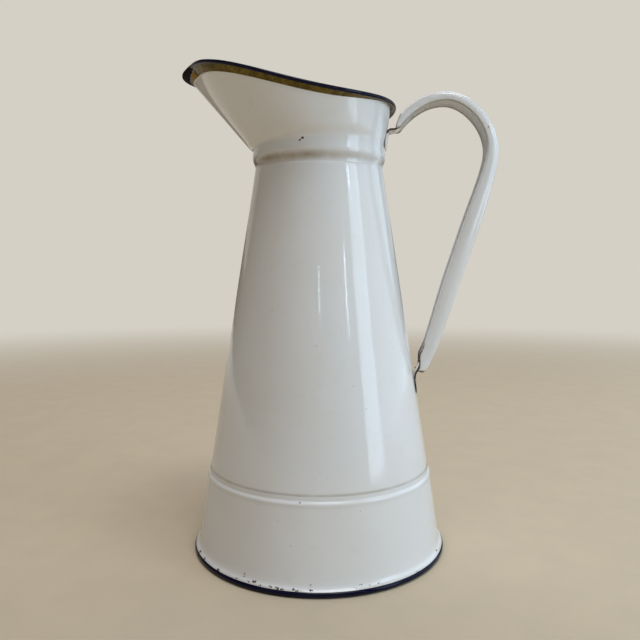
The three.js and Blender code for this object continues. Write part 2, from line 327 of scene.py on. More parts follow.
def swept_ring(section_at, steps=RING_STEPS):
    """A closed ring. section_at(angle) returns the closed section there, as (x, y, z) points."""
    points, faces = [], []
    for step in range(steps):
        section = section_at(2 * math.pi * step / steps)
        points += section
    count = len(section)
    for step in range(steps):
        faces += joined(step * count, (step + 1) % steps * count, count)
    return points, faces


def swept_bar(sections):
    """A bar with closed ends. In each section, point i and the i-th from the end lie opposite."""
    count = len(sections[0])
    last = len(sections) - 1
    points = [p for section in sections for p in section]
    faces = []
    for step in range(last):
        faces += joined(step * count, (step + 1) * count, count)
    for base in (0, last * count):
        for i in range(count // 2 - 1):
            faces.append((base + i, base + i + 1, base + count - 2 - i, base + count - 1 - i))
    return points, faces


def turned(outline, uneven=0.0, dents=()):
    """A ring whose section is the same all round, but for the unevenness of the sheet."""
    def section_at(angle):
        c, s = math.cos(angle), math.sin(angle)
        made = []
        for radius, z in outline:
            off = pressed(radius * c, radius * s, z, uneven) - dent(angle, z, dents)
            made.append(((radius + off) * c, (radius + off) * s, z))
        return made

    return swept_ring(section_at)


# ---------- materials ----------

class Surface:
    """A Principled material under construction. Its textures use the frame's own coordinates."""

    def __init__(self, name):
        self.material = bpy.data.materials.new(name)
        self.material.use_nodes = True
        self.tree = self.material.node_tree
        self.shader = self.tree.nodes["Principled BSDF"]
        coordinates = self.tree.nodes.new("ShaderNodeTexCoord")
        self.place = coordinates.outputs["Object"]

    def connect(self, value, socket):
        """Links another node's output to an input, or sets the input to a constant."""
        if isinstance(value, bpy.types.NodeSocket):
            self.tree.links.new(value, socket)
        elif socket.type == "RGBA":
            socket.default_value = (*value, 1)
        else:
            socket.default_value = value

    def node(self, kind, inputs, **settings):
        made = self.tree.nodes.new(kind)
        for key, value in settings.items():
            setattr(made, key, value)
        for key, value in inputs.items():
            self.connect(value, made.inputs[key])
        return made

    def calc(self, operation, *values):
        inputs = dict(enumerate(values))
        return self.node("ShaderNodeMath", inputs, operation=operation).outputs[0]

    def times(self, first, second):
        return self.calc("MULTIPLY", first, second)

    def vector(self, operation, inputs):
        return self.node("ShaderNodeVectorMath", inputs, operation=operation)

    def noise_node(self, size, detail, roughness):
        inputs = {"Vector": self.place, "Scale": 1 / (size * MM), "Detail": detail}
        return self.node("ShaderNodeTexNoise", {**inputs, "Roughness": roughness})

    def noise(self, size, detail=3.0, roughness=0.5):
        """Noise from 0 to 1 whose blotches are about size millimetres across."""
        return self.noise_node(size, detail, roughness).outputs["Fac"]

    def between(self, value, low, high, start=0.0, end=1.0):
        """Maps low..high to start..end, with a smooth step."""
        inputs = {"Value": value, "From Min": low, "From Max": high, "To Min": start, "To Max": end}
        made = self.node("ShaderNodeMapRange", inputs, interpolation_type="SMOOTHSTEP")
        return made.outputs["Result"]

    def blotches(self, size, low, high, start=0.0, end=1.0, detail=3.0, roughness=0.5):
        """Noise whose range low..high is mapped to start..end."""
        return self.between(self.noise(size, detail, roughness), low, high, start, end)

    def mix(self, share, first, second):
        """Mixes two colours."""
        first_colour, second_colour, result = 6, 7, 2
        made = self.node("ShaderNodeMix", {"Factor": share}, data_type="RGBA")
        for index, value in ((first_colour, first), (second_colour, second)):
            self.connect(value, made.inputs[index])
        return made.outputs[result]

    def split(self, axis):
        """The place along one of the frame's axes, in metres."""
        return self.node("ShaderNodeSeparateXYZ", {"Vector": self.place}).outputs[axis]

    def spots(self, spots):
        """The distance to the nearest spot, as a share of that spot's radius. Each spot is an
        (x, y, z) point and a radius, in millimetres round the jug's axis, with a ragged edge."""
        wobble = self.noise_node(SPOT_RAG, 2.0, 0.5).outputs["Color"]
        centred = self.vector("SUBTRACT", {0: wobble, 1: (0.5, 0.5, 0.5)})
        nearest = None
        for (x, y, z), radius in spots:
            middle = ((x + AXIS_X) * MM, y * MM, z * MM)
            shift = self.vector("SCALE", {0: centred.outputs[0], "Scale": radius * SPOT_STRAY * MM})
            moved = self.vector("ADD", {0: self.place, 1: shift.outputs[0]})
            away = self.vector("DISTANCE", {0: moved.outputs[0], 1: middle}).outputs["Value"]
            share = self.calc("DIVIDE", away, radius * MM)
            nearest = share if nearest is None else self.calc("MINIMUM", nearest, share)
        return nearest

    def within(self, value, low, high):
        """1 where the value is below low, and 0 where it is above high."""
        return self.between(value, low, high, 1.0, 0.0)

    def tone(self):
        """The number that the mesh holds for each point."""
        return self.node("ShaderNodeAttribute", {}, attribute_name="tone").outputs["Fac"]

    def to(self, socket, value):
        self.connect(value, self.shader.inputs[socket])

    def bump(self, height, distance):
        inputs = {"Height": height, "Distance": distance * MM, "Strength": 1.0}
        self.to("Normal", self.node("ShaderNodeBump", inputs).outputs["Normal"])

    def finish(self, colour, rough, relief, depth):
        """Sets what every glass surface needs. relief is a height from 0 to 1 for depth millimetres."""
        self.to("Base Color", colour)
        self.to("Roughness", rough)
        self.to("IOR", GLASS_IOR)
        self.bump(relief, depth)
        return self.material


def glass_colour(surface):
    """White glass with warmer and yellowed clouds, and a few pinholes."""
    colour = surface.mix(surface.blotches(70, 0.35, 0.7, detail=2), WHITE, WARM_WHITE)
    cloud = surface.blotches(9, 0.55, 0.8, 0.0, 0.16, detail=4, roughness=0.6)
    colour = surface.mix(cloud, colour, YELLOWED)
    pin = surface.blotches(3.1, 0.81, 0.83, detail=1)
    return surface.mix(surface.times(pin, 0.5), colour, PINHOLE)


def dirt_and_shade_line(surface, colour, at, spread, left, right):
    """The colour with a patchy dark line at one height, left strong on the spout's side and right
    strong on the handle's. It is dirt at the foot, the bottom and the lugs, and painted shade in the
    crease above the band and under the neck bead."""
    height = surface.times(surface.split("Z"), 1 / MM)
    away = surface.calc("ABSOLUTE", surface.calc("SUBTRACT", height, at))
    near = surface.within(away, 0.0, spread)
    patchy = surface.blotches(17, 0.30, 0.65, 0.55, 1.0, roughness=0.55)
    strength = surface.between(surface.split("X"), -35 * MM, 15 * MM, left, right)
    return surface.mix(surface.times(surface.times(near, patchy), strength), colour, DIRT_AND_SHADE)


def white_enamel(name, chips=(), stains=(), dirt_and_shade_lines=(), edges=False):
    """Glossy white glass on steel. chips bare the steel, stains are brown marks on the glass, and the
    dark lines darken the glass at set heights, as dirt and, in the crease above the band and under
    the neck bead, as painted shade. With edges, the sheet's edges are chipped and darkened as far as
    the mesh's tone says; along the handle's curled edges near its top the darkening is painted shade."""
    surface = Surface(name)
    colour = glass_colour(surface)
    for dark_line in dirt_and_shade_lines:
        colour = dirt_and_shade_line(surface, colour, *dark_line)
    if stains:
        marked = surface.within(surface.spots(stains), 0.5, 1.2)
        colour = surface.mix(surface.times(marked, 0.6), colour, STAIN)
    bare = None
    if chips:
        near = surface.spots(chips)
        colour = surface.mix(surface.times(surface.within(near, 1.0, 1.5), 0.8), colour, RUST)
        bare = surface.within(near, 0.75, 1.05)
    if edges:
        ragged = surface.blotches(1.7, 0.35, 0.65, -0.35, 0.35, roughness=0.65)
        # Where the tone rises the glass darkens: wear and dirt on the lugs and at the handle's lower
        # end, painted shade along the handle's curled edges near its top and across its upper end.
        colour = surface.mix(surface.between(surface.tone(), 0.04, 0.45, 0.0, 0.8), colour, DIRT_AND_SHADE)
        chipped = surface.between(surface.calc("ADD", surface.tone(), ragged), 0.66, 0.76)
        bare = chipped if bare is None else surface.calc("MAXIMUM", bare, chipped)
    rough = surface.blotches(14, 0.3, 0.75, 0.07, 0.13)
    relief = surface.noise(5.5, 2)
    if bare:
        colour = surface.mix(bare, colour, STEEL)
        rough = surface.calc("ADD", rough, surface.times(bare, 0.5))
        relief = surface.calc("SUBTRACT", relief, surface.times(bare, 6.0))
    return surface.finish(colour, rough, relief, 0.03)


def painted_reflection_and_wear(surface, tone):
    """The colour under the lip's flange: a mottled olive painted reflection of a warm wooden floor,
    greyer near the handle, and where tone rises from 1 to 2, amber and then tan."""
    mottle = surface.blotches(5, 0.35, 0.7, detail=5, roughness=0.7)
    colour = surface.mix(mottle, DARK_OLIVE_REFLECTION, OLIVE_REFLECTION)
    handle_side = surface.between(surface.split("X"), 0.0, 45 * MM)
    colour = surface.mix(surface.times(handle_side, mottle), colour, GREY_REFLECTION)
    colour = surface.mix(surface.between(tone, 1.0, 1.45), colour, AMBER)
    return surface.mix(surface.between(tone, 1.88, 2.0), colour, TAN)


def navy_enamel(name, chips, worn=False):
    """Glossy navy glass. chips bare the steel. When worn, the mesh's tone says where: it is 0 on sound
    glass, 1 and more under the flange, where the colour is a painted reflection of a warm floor with
    worn colours towards the tip, and below 0 where the steel is bare."""
    surface = Surface(name)
    colour = surface.mix(surface.blotches(12, 0.3, 0.75), BLUER_NAVY, NAVY)
    rough = surface.blotches(8, 0.3, 0.75, 0.06, 0.15)
    if worn:
        tone = surface.tone()
        colour = surface.mix(surface.between(tone, 0.3, 0.7), colour, painted_reflection_and_wear(surface, tone))
        bare = surface.within(tone, -0.7, -0.2)
        colour = surface.mix(bare, colour, WORN_TIP)
        dull = surface.calc("MAXIMUM", bare, surface.between(tone, 0.98, 1.06))
        rough = surface.calc("ADD", rough, surface.times(dull, 0.8))
    chipped = surface.within(surface.spots(chips), 0.75, 1.05)
    colour = surface.mix(chipped, colour, NAVY_CHIP)
    rough = surface.calc("ADD", rough, surface.times(chipped, 0.45))
    relief = surface.calc("SUBTRACT", surface.noise(3.0, 2), surface.times(chipped, 4.0))
    surface.to("Specular IOR Level", 0.15)
    return surface.finish(colour, rough, relief, 0.04)


# ---------- body ----------

def cone_radius(z):
    return CONE_RADIUS - CONE_TAPER * (z - CONE_HEIGHT)


def by_cone(z, gap):
    """A (radius, height) point that stands gap off the cone's face."""
    return (cone_radius(z) + gap, z)


def band_radius(z):
    slope = (FLARE_RADIUS - SHOULDER_RADIUS) / (SHOULDER_HEIGHT - FLARE_HEIGHT)
    return SHOULDER_RADIUS + slope * (SHOULDER_HEIGHT - z)


def flare_radius(z):
    """The band's outer radius near the foot."""
    for (r0, z0), (r1, z1) in zip(FLARE, FLARE[1:]):
        if z <= z1:
            return lerp(r0, r1, (z - z0) / (z1 - z0))
    return band_radius(z)


def on_wall(degrees, z, radius):
    angle = math.radians(degrees)
    return (radius * math.cos(angle), radius * math.sin(angle), z)


def body_cone():
    """The conical wall. Its lower end lies behind the band and its upper end inside the collar."""
    lap = band_radius(LAP_BEND) - SHEET - LAP_GAP
    low = [(lap + 0.9, CONE_BOTTOM), (lap, LAP_BEND), by_cone(64.5, -0.12)]
    wall = line(by_cone(LAP_TOP, 0), by_cone(BEAD_BOTTOM - 0.6, 0), 80)
    tucked = [(cone_radius(BEAD_BOTTOM) - 0.3, BEAD_BOTTOM + 0.4), by_cone(CONE_TOP, -0.4)]
    downward = (low + wall + tucked)[::-1]
    specks = [(on_wall(degrees, z, cone_radius(z)), size)
              for degrees, z, size in ((268.5, 268.0, 0.35), (246.0, 190.0, 0.45), (301.0, 122.0, 0.4))]
    # Both dark lines on the cone are painted shade: in the crease above the band and under the neck
    # bead.
    material = white_enamel("cone_enamel", stains=specks, dirt_and_shade_lines=[LAP_CREASE_SHADE, NECK_PAINTED_SHADE])
    points, faces = turned(sheet_outline(downward, SHEET), CONE_UNEVEN)
    return piece("body_cone", "cone_shell", points, faces, material)


def foot_chips():
    """The chips along the band's lower edge: the ones on the front, then a scatter elsewhere. Each
    one is a larger spot with a smaller one beside it."""
    chance = random.Random(7)
    scatter = [(chance.uniform(-80, 200), chance.uniform(4.2, 7.0), chance.uniform(0.35, 0.9))
               for _ in range(10)]
    chips = []
    for angle, z, size in [*FRONT_CHIPS, *scatter]:
        chips.append((on_wall(angle, z, flare_radius(z)), size * 0.8))
        next_angle = angle + chance.uniform(0.5, 0.9) * chance.choice((-1, 1))
        next_z = z + chance.uniform(-0.3, 0.5)
        next_size = size * chance.uniform(0.35, 0.65)
        chips.append((on_wall(next_angle, next_z, flare_radius(next_z)), next_size))
    return chips


def band_outline():
    """The band's closed section: up its outer face, over the edge and down its inner face."""
    wall = line((FLARE_RADIUS + 0.1, FLARE_HEIGHT), (SHOULDER_RADIUS + 0.45, SHOULDER_HEIGHT - 3), 22)
    flare = through([*FLARE, wall[0]], 4)
    shoulder_steps = 5
    shoulder = through([wall[-2], wall[-1], *SHOULDER], shoulder_steps)
    outer = flare[:-1] + wall + shoulder[shoulder_steps + 1:]
    inner_foot = [(98.9, 4.2), (98.2, 4.35), (97.4, 4.45), (96.4, 4.7), (95.4, 5.2), (94.9, 6.8)]
    inner_wall = line((band_radius(9) - SHEET, 9), (band_radius(LAP_BEND) - SHEET, LAP_BEND), 14)
    inner_top = [by_cone(60, 0.2), by_cone(61.5, 0.08), (cone_radius(64) + 0.02, 64.2)]
    return outer + (inner_foot + inner_wall + inner_top)[::-1]


def body_band():
    """The lower skirt, from the foot up to its shoulder on the cone."""
    lap_chip = (on_wall(267.4, 61.2, 88.3), 0.55)
    stains = [(on_wall(degrees, z, flare_radius(z)), size)
              for degrees, z, size in ((272.5, 8.0, 0.9), (243.5, 8.5, 1.0))]
    material = white_enamel("band_enamel", [*foot_chips(), lap_chip], stains, [FOOT_GRIME])
    points, faces = turned(band_outline(), BAND_UNEVEN, BAND_DENTS)
    return piece("body_band", "base_band", points, faces, material)


def foot_curl():
    """The navy curl that the jug stands on: a C, open towards the top of its inner side."""
    def arc(size, turn):
        half = FOOT_FLAT / 2 * math.tanh(2.4 * math.cos(turn))
        return (FOOT_CENTRE + half + size * math.cos(turn), max(FOOT_ROLL + size * math.sin(turn), 0))

    turns = [FOOT_START - FOOT_SWEEP * step / FOOT_STEPS for step in range(FOOT_STEPS + 1)]
    outside = [arc(FOOT_ROLL, turn) for turn in turns]
    inside = [arc(FOOT_ROLL - FOOT_SHEET, turn) for turn in turns]
    worn = [(on_wall(angle, 2.4, 99.6), size)
            for angle, size in ((196, 2.2), (203, 1.6), (209, 1.8), (229, 1.1), (31, 1.5), (77, 1.2))]
    points, faces = turned(outside + inside[::-1])
    return piece("foot_curl", "foot_roll", points, faces, navy_enamel("foot_enamel", worn))


def bottom_dish():
    """The dished bottom with its turned-down rim. Both of its faces close in a point at the axis."""
    seat = band_radius(12) - SHEET - BOTTOM_GAP
    face = through([
        (0.0, 17.4), (30, 17.1), (55, 16.2), (seat - 9, 14.6), (seat - 4, 14.0), (seat - 1.6, 13.0),
        (seat - 0.4, 11.4), (band_radius(8) - SHEET - BOTTOM_GAP - 0.05, 7.6),
    ], 6)
    under = beside(face, SHEET)
    outline = face[1:] + under[:0:-1]
    points, faces = turned(outline, BOTTOM_UNEVEN)
    count = len(outline)
    faces = [f for f in faces if f[0] % count != count - 1]
    top, low = len(points), len(points) + 1
    points += [(0.0, 0.0, face[0][1]), (0.0, 0.0, under[0][1])]
    for step in range(RING_STEPS):
        here, ahead = step * count, (step + 1) % RING_STEPS * count
        faces.append((here, ahead, top))
        faces.append((ahead + count - 1, here + count - 1, low))
    material = white_enamel("bottom_enamel", dirt_and_shade_lines=[BOTTOM_GRIME])
    return piece("bottom_dish", "bottom_plate", points, faces, material)


# ---------- collar and lip ----------

def near_tip(angle, spread):
    """1 in the direction of the pouring tip, falling to 0 over the given spread of angle."""
    return math.exp(-(((angle - math.pi) / spread) ** 2))


def collar_point(angle, rise, drawn=0.0):
    """A point on the collar's face, rise above the neck circle. drawn is the share of the tip's
    pinch there."""
    radius = NECK_RADIUS + COLLAR_FLARE * rise
    pinch = PINCH_DEPTH * drawn * (near_tip(angle, PINCH_OUTER) - near_tip(angle, PINCH_INNER))
    x = radius * math.cos(angle) - COLLAR_LEAN * rise + pinch
    return (x, radius * math.sin(angle), NECK_HEIGHT + rise)


def back_rise(x):
    return RIM_BACK_RISE * max(x / RIM_SPAN, 0) ** 2


def rim_height(x):
    even = sum(factor * (x / RIM_SPAN) ** power for power, factor in enumerate(RIM_HEIGHT))
    return even + back_rise(x)


def collar_rise(angle):
    """How far the collar rises above the neck circle in one direction, up to the lip. The rim's
    height depends on x and x on the rise, so the two are brought together step by step."""
    tip_rise = RIM_TIP_RISE * near_tip(angle, LIP_TIP_SPREAD)
    rise = 30.0
    for _ in range(40):
        rise = (rise + rim_height(collar_point(angle, rise)[0]) + tip_rise - NECK_HEIGHT) / 2
    return rise


def neck_bead():
    """The bead's outer face, from its lower edge on the cone up to the waist under the collar."""
    seam = cone_radius(BEAD_BOTTOM)
    lower_edge = [(seam - 0.15, BEAD_BOTTOM - 1.0), (seam + 0.02, BEAD_BOTTOM)]
    inward_and_up = ((2.22, 1.2), (2.02, 2.4), (1.64, 3.6), (1.16, 4.8), (0.68, 6.0), (0.30, 7.2),
                     (0.03, 8.6), (0.02, 9.8), (0.24, 11.8), (0.50, 13.6), (0.62, 15.4))
    swell = [(BEAD_RADIUS - inward, BEAD_BOTTOM + up) for inward, up in inward_and_up]
    return through(lower_edge + swell, 5)


def collar_face(angle, bead_line):
    """The collar's outer face at one angle, from the neck bead over a fillet to the rim."""
    c, s = math.cos(angle), math.sin(angle)
    bead = [(radius * c, radius * s, z) for radius, z in bead_line]
    fillet = lerp(COLLAR_FILLET, COLLAR_TIP_FILLET, near_tip(angle, 1.2))
    foot, landing = collar_point(angle, 0), collar_point(angle, fillet)
    waist = bead[-1]
    above_waist = (waist[0], waist[1], lerp(waist[2], landing[2], 0.5))
    before_landing = tuple(lerp(b, a, 0.42) for a, b in zip(foot, landing))
    curve = bezier(waist, above_waist, before_landing, landing, 7)[1:-1]
    top = collar_rise(angle)
    cone = []
    for step in range(COLLAR_STEPS + 1):
        rise = lerp(fillet, top, step / COLLAR_STEPS)
        cone.append(collar_point(angle, rise, (rise / top) ** 4))
    return bead + curve + cone


def collar_unevenness(x, y, z, top):
    """How far the collar stands off its true shape: with the cone at its foot, free in its middle,
    and not at all at the rim, where the lip fits."""
    below_rim = 1 - smooth(0.8, 1.0, (z - 312) / (top - 312))
    free = pressed(x, y, z, COLLAR_UNEVEN) * smooth(300, 312, z) * below_rim
    return free + pressed(x, y, z, CONE_UNEVEN) * (1 - smooth(298, 304, z))


def pouring_collar():
    """The neck bead and the funnel above it, up to the rim."""
    bead_line = neck_bead()

    def section_at(angle):
        face = collar_face(angle, bead_line)
        c, s = math.cos(angle), math.sin(angle)
        outer, inner = [], []
        for x, y, z in face:
            off = collar_unevenness(x, y, z, face[-1][2])
            outer.append((x + off * c, y + off * s, z))
            inner.append((x + (off - SHEET) * c, y + (off - SHEET) * s, z))
        return outer + inner[::-1]

    tip_chips = [(collar_point(math.radians(degrees), rise, 1.0), size)
                 for degrees, rise, size in ((200, 46.5, 0.5), (205, 43.0, 0.4), (196, 47.0, 0.35))]
    neck_chips = [(on_wall(260.4, 310.2, 51.2), 0.75), (on_wall(262.6, 311.6, 51.4), 0.8)]
    stains = [(on_wall(340.5, 309.5, 51.3), 0.8), (on_wall(342, 307.5, 51.6), 0.6)]
    # The dark line under the neck bead is painted shade.
    material = white_enamel("collar_enamel", neck_chips + tip_chips, stains, [NECK_PAINTED_SHADE])
    points, faces = swept_ring(section_at)
    return piece("pouring_collar", "spout_collar", points, faces, material)


def rim_point(angle):
    return collar_point(angle, collar_rise(angle), 1.0)


def rim_frame(angle):
    """The rim's point at one angle and the horizontal direction square to the rim there."""
    step = 0.01
    before, after = rim_point(angle - step), rim_point(angle + step)
    length = math.hypot(after[0] - before[0], after[1] - before[1])
    return rim_point(angle), ((after[1] - before[1]) / length, (before[0] - after[0]) / length)


def off_rim(root, normal, out, up):
    """The point that lies out and up from the rim."""
    return (root[0] + normal[0] * out, root[1] + normal[1] * out, root[2] + up)


def bead_offset(angle, root):
    """Where the bead's centre lies from the collar's upper edge, out and up."""
    width = lerp(LIP_SIDE_WIDTH, LIP_TIP_WIDTH, near_tip(angle, 1))
    steep = lerp(LIP_SIDE_ANGLE, LIP_TIP_ANGLE, near_tip(angle, 1))
    tip = near_tip(angle, LIP_TIP_SPREAD)
    reach = width - LIP_BEAD
    return (reach * math.cos(steep) + LIP_TIP_REACH * tip - 0.12 * back_rise(root[0]),
            reach * math.sin(steep) - RIM_TIP_RISE * tip - back_rise(root[0]))


def lip_outline(centre):
    """The lip's closed section, as (out, up) points: along the underside of the flange, round the
    bead and back over the flange. centre is the middle of the bead."""
    steep = math.atan2(centre[1], centre[0])
    along = (math.cos(steep), math.sin(steep))

    def by_bead(ahead, left):
        return (centre[0] + ahead * along[0] - left * along[1],
                centre[1] + ahead * along[1] + left * along[0])

    low_end, high_end = by_bead(-LIP_NECK_BACK, -LIP_NECK_HALF), by_bead(-LIP_NECK_BACK, LIP_NECK_HALF)
    low_lead = by_bead(-LIP_NECK_BACK - 1, -LIP_NECK_HALF)
    high_lead = by_bead(-LIP_NECK_BACK - 1, LIP_NECK_HALF)
    hem = [(-1.1, -0.6), (-0.1, -0.6)]
    under = bezier((0.02, 0.0), (0.4, 0.35), low_lead, low_end, 8)
    bead = []
    for step in range(LIP_BEAD_STEPS + 1):
        turn = steep + LIP_BEAD_TURN * (2 * step / LIP_BEAD_STEPS - 1)
        bead.append((centre[0] + LIP_BEAD * math.cos(turn), centre[1] + LIP_BEAD * math.sin(turn)))
    over = bezier(high_end, high_lead, (-0.8, 1.5), (-1.2, 0.2), 8)
    return hem + under + bead + over


def lip_tone(index, tip):
    """How the lip's enamel looks at one point of its outline: 1 and more under the flange, for its
    painted reflection and towards the tip its wear, and below 0 where it is worn bare. tip is 1 at the
    pouring tip.
    """
    if index <= UNDER_FLANGE * (1 - 0.6 * tip):
        return 1.0 + smooth(0.35, 0.75, tip)
    if index < BEAD_BACK:
        return -smooth(0.25, 0.6, tip)
    return 0.0


def on_flange(degrees, share, size):
    """A spot on the flange, share of the way from the collar to the bead's centre."""
    angle = math.radians(degrees)
    root, normal = rim_frame(angle)
    out, up = (part * share for part in bead_offset(angle, root))
    return (off_rim(root, normal, out, up), size)


def rolled_lip():
    """The turned-out flange and bead round the mouth."""
    tones = []

    def section_at(angle):
        root, normal = rim_frame(angle)
        outline = lip_outline(bead_offset(angle, root))
        tip = near_tip(angle, TIP_WEAR_SPREAD)
        tones.extend(lip_tone(index, tip) for index in range(len(outline)))
        return [off_rim(root, normal, out, up) for out, up in outline]

    spots = ((262, 0.35, 0.6), (283, 0.6, 0.5), (20, 0.4, 0.9), (95, 0.5, 1.2))
    material = navy_enamel("lip_enamel", [on_flange(*spot) for spot in spots], worn=True)
    points, faces = swept_ring(section_at, LIP_STEPS)
    return piece("rolled_lip", "lip_roll", points, faces, material, tones)


# ---------- handle ----------

def handle_path():
    """The line of the handle's outer face, as (x, z) points spaced evenly."""
    fine = 60
    arcs = (
        (HANDLE_START, (72, 347.6), (83, HANDLE_TOP[1]), HANDLE_TOP),
        (HANDLE_TOP, (117, HANDLE_TOP[1]), (HANDLE_OUT[0], 330), HANDLE_OUT),
        (HANDLE_OUT, (HANDLE_OUT[0], 285), (115.5, 224), HANDLE_BEND),
        (HANDLE_BEND, (92.8, 154.8), (88, 141.5), HANDLE_END),
    )
    points = [HANDLE_START]
    for arc in arcs:
        points += bezier(*arc, fine)[1:]
    return even_steps(points, HANDLE_STEPS)


def channel_face(width, depth):
    """The channel's outer face across the handle: the curl of one edge, a cheek, round the web,
    the other cheek and its curl. Depth runs from the web towards the open side."""
    half = width / 2
    corner = min(0.9 * half, HANDLE_ROUND * depth)
    curl = HANDLE_CURL * depth
    curl_steps, corner_steps = 7, 13
    side = []
    for step in range(curl_steps):
        turn = math.radians(HANDLE_CURL_TURN) * (1 - step / curl_steps)
        side.append((half - curl * 0.55 * (1 - math.cos(turn)), depth - curl + curl * math.sin(turn)))
    side += line((half, depth - curl), (half, corner), 3)[:-1]
    for step in range(corner_steps):
        turn = math.pi / 2 * step / corner_steps
        side.append((half - corner * (1 - math.cos(turn)), corner * (1 - math.sin(turn))))
    flat = half - corner
    web = line((flat, 0.0), (-flat, 0.0), 4)
    return side + web + [(-across, deep) for across, deep in side[::-1]]


def bend(path, step, flat, run_at=lambda deep: 0.0):
    """Lays a flat section's (across, depth) points square to the path at one step. run_at gives how
    far each depth is moved along the path."""
    tx, tz = direction(path, step)
    x, z = path[step]
    made = []
    for across, deep in flat:
        run = run_at(deep)
        made.append((x + tz * deep + tx * run, -across, z - tx * deep + tz * run))
    return made


def handle_size(s):
    """The channel's width and depth, s of the way from the collar to the cone."""
    width = 1 - 0.2 * (1 - smooth(0, 0.3, s)) - 0.2 * smooth(0.6, 1, s)
    depth = 0.58 + 0.42 * smooth(0.25, 0.6, s) - 0.16 * smooth(0.7, 0.92, s) - 0.5 * smooth(0.94, 1, s)
    return HANDLE_WIDTH * width, HANDLE_DEPTH * depth


def handle_tone(s, deep, depth):
    """How dark and worn the channel is. Along its open edges near the top and across its upper end the
    darkening is painted shade of the curled edges; along its open edges near the lower end and across
    that end it is wear.
    """
    upper = 0.34 - 0.3 * smooth(0.28, 0.42, s)
    lower = smooth(0.88, 0.96, s)
    ends = max(0.5 * (1 - smooth(0.0, 0.01, s)), smooth(0.99, 1.0, s))
    return max(max(upper, lower) * smooth(depth - 1.5, depth - 0.5, deep), ends)


def handle_channel():
    """The bent channel, open towards the body."""
    path = handle_path()
    sections, tones = [], []
    for step in range(HANDLE_STEPS + 1):
        s = step / HANDLE_STEPS
        width, depth = handle_size(s)
        near_start, near_end = 1 - smooth(0, 0.08, s), smooth(0.93, 1, s)

        def slant(deep):
            """The channel's start is cut on the slant with a round corner, and its end is cut back
            at the web."""
            start = 0.55 * max(deep - 3.5, 0) ** 2 - 2.3 * deep
            end = -HANDLE_END_CUT * max(1 - deep / depth, 0)
            return start * near_start + end * near_end

        flat = sheet_outline(channel_face(width, depth), SHEET)
        sections.append(bend(path, step, flat, slant))
        tones += [handle_tone(s, deep, depth) for _, deep in flat]
    material = white_enamel("handle_enamel", stains=[(HANDLE_SPECK, HANDLE_SPECK_SIZE)], edges=True)
    points, faces = swept_bar(sections)
    return piece("handle_channel", "handle_strap", points, faces, material, tones)


def stepped(values, s):
    """A value that goes smoothly through (share, value) pairs."""
    total = values[0][1]
    for (low, before), (high, after) in zip(values, values[1:]):
        total += smooth(low, high, s) * (after - before)
    return total


def lug(route, wall_radius, pad_end, pad_width, wear):
    """The points, faces and tones of a strip from a pad on the wall into the channel. The pad is thin
    and wide, and hugs the wall up to the share pad_end of the strip. wear says how worn the strip's
    edges are, as (share of its length, wear) pairs."""
    path = even_steps(through(route, 12), LUG_STEPS)
    sections, tones = [], []
    for step in range(LUG_STEPS + 1):
        s = step / LUG_STEPS
        half = lerp(pad_width, LUG_WIDTH, smooth(pad_end * 0.6, pad_end + 0.25, s)) / 2
        half *= 1 - 0.25 * (1 - smooth(0.0, 0.14, s)) ** 2
        thick = LUG_THICKNESS * (0.5 + 0.5 * smooth(0.0, 0.15, s))
        on_pad = 1 - smooth(pad_end, min(1.0, pad_end + 0.3), s)
        face = line((half - thick / 2, -thick / 2), (-half + thick / 2, -thick / 2), 14)
        flat = []
        for across, deep in sheet_outline(face, thick):
            sag = wall_radius - math.sqrt(wall_radius ** 2 - across ** 2)
            flat.append((across, deep - sag * on_pad))
            tones.append(stepped(wear, s) * smooth(half - 1.8, half - 0.6, abs(across)))
        sections.append(bend(path, step, flat))
    return *swept_bar(sections), tones


def upper_lug():
    """From the back of the collar, over a short ledge, up into the handle's start."""
    def by_collar(z, gap=0.0):
        return (collar_point(0, z - NECK_HEIGHT)[0] + LUG_THICKNESS / 2 + gap, z)

    route = [
        by_collar(312.5), by_collar(317), by_collar(321, 0.1), (by_collar(323.5, 0.3)[0], 324.2),
        (55.8, 325.9), (58.6, 326.4), (62, 327.8), (66, 331.6), (71.5, 337.6),
    ]
    chips = [((53.2, -8.6, 324.2), 1.3), ((54.4, -8.2, 325.4), 1.2), ((58.5, -2.0, 325.6), 0.8),
             ((56.6, 5.0, 324.6), 0.9)]
    wear = ((0.0, 0.12), (0.28, 0.15), (0.36, 1.0), (0.55, 1.0), (0.68, 0.3))
    material = white_enamel("upper_lug_enamel", chips, dirt_and_shade_lines=[UPPER_LUG_GRIME], edges=True)
    points, faces, tones = lug(route, NECK_RADIUS + 5, 0.3, 21.0, wear)
    return piece("handle_lug_top", "upper_handle_lug", points, faces, material, tones)


def lower_lug():
    """From the cone up into the handle's end."""
    def by_wall(z, gap=0.0):
        return by_cone(z, LUG_THICKNESS / 2 + gap)

    route = [
        by_wall(122, -0.2), by_wall(127), by_wall(132, 0.2), (77, 136.8), (78.8, 141.5), (84.4, 153.5),
    ]
    chips = [((77.2, -7.6, 134.6), 1.2), ((76.6, -8.2, 131.0), 1.0)]
    wear = ((0.0, 0.6), (0.1, 0.95), (0.5, 1.0), (0.7, 0.6))
    material = white_enamel("lower_lug_enamel", chips, dirt_and_shade_lines=[LOWER_LUG_GRIME], edges=True)
    points, faces, tones = lug(route, cone_radius(128), 0.4, 19.0, wear)
    return piece("handle_lug_bottom", "lower_handle_lug", points, faces, material, tones)


# ---------- camera, light and floor ----------

